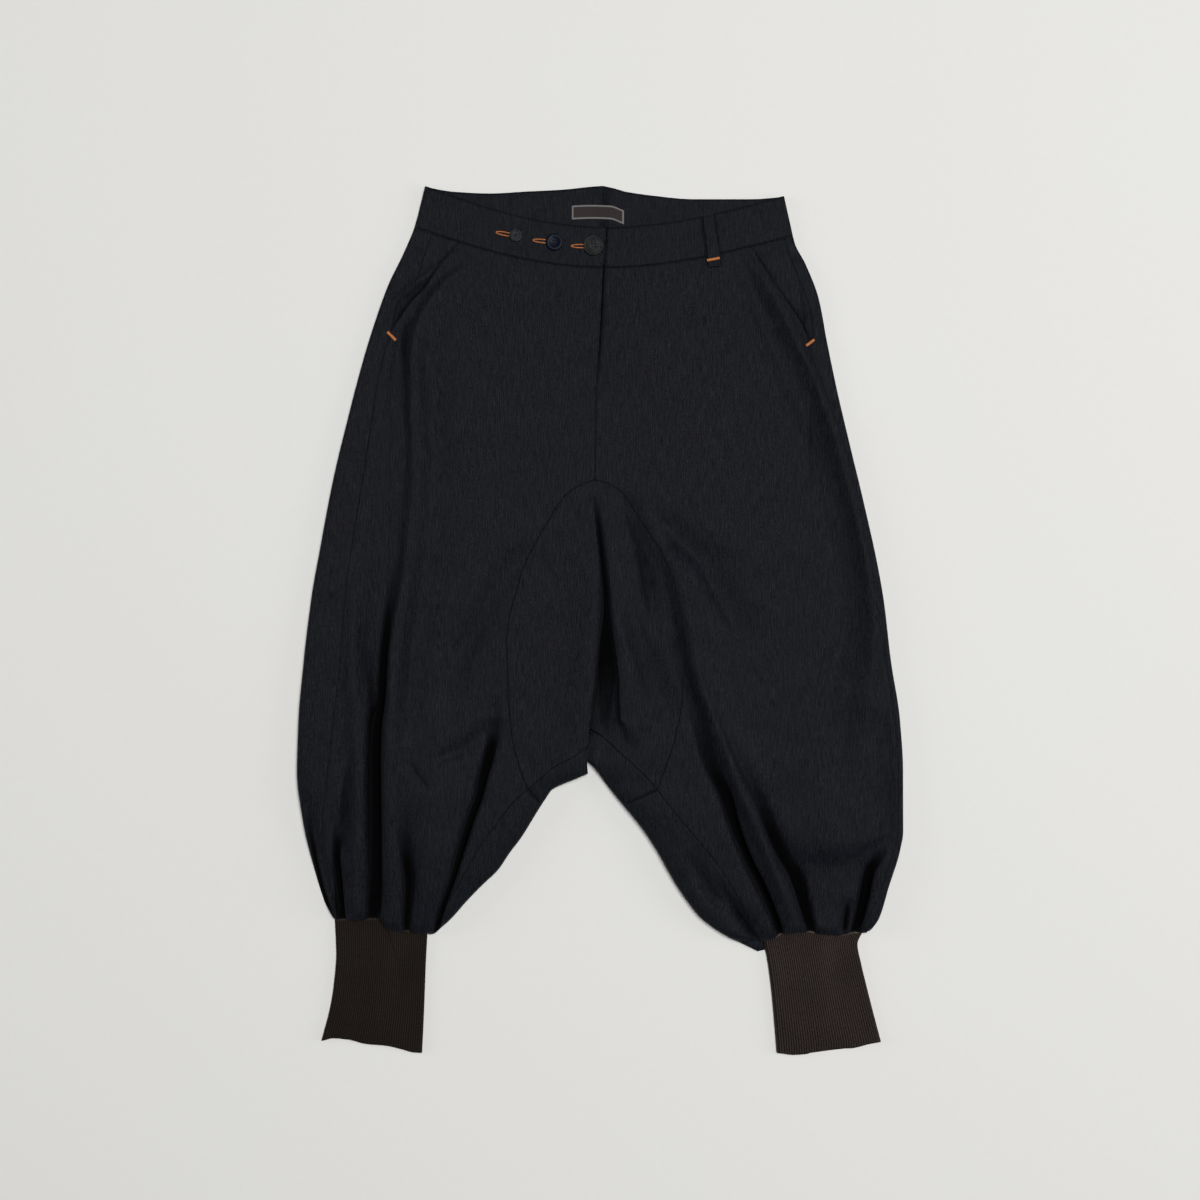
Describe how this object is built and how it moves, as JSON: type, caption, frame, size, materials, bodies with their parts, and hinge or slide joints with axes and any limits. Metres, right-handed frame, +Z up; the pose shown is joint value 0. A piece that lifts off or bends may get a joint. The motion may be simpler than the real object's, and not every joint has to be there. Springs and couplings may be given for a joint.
{
  "type": "harem pants",
  "caption": "Low-crotch trousers laid flat, front up, with an arched pleated gusset, slanted pockets, a buttoned waistband and rib-knit ankle cuffs.",
  "frame": {"origin": "middle of the laid-out garment's outline, on the surface it rests on", "axes": "+Y towards the waist, +X to the right of the front as it lies, +Z up out of the front"},
  "size_m": [0.634, 0.911, 0.0174],
  "materials": {
    "cloth": "charcoal blue-black woven cloth with a fine upright slub",
    "knit": "dark brown rib knit",
    "button": "dark polished resin with a raised rim",
    "label": "bare woven patch"
  },
  "bodies": {
    "root": {"front_left": "cloth", "front_right": "cloth", "side_panel_left": "cloth", "side_panel_right": "cloth", "back_left": "cloth", "back_right": "cloth", "gusset_front": "cloth", "gusset_back_left": "cloth", "gusset_back_right": "cloth", "waistband_left": "cloth", "waistband_right": "cloth", "belt_loop": "cloth", "cuff_left": "knit", "cuff_right": "knit", "button_small": "button", "button_middle": "button", "button_large": "button", "label": "label"}
  },
  "joints": []
}
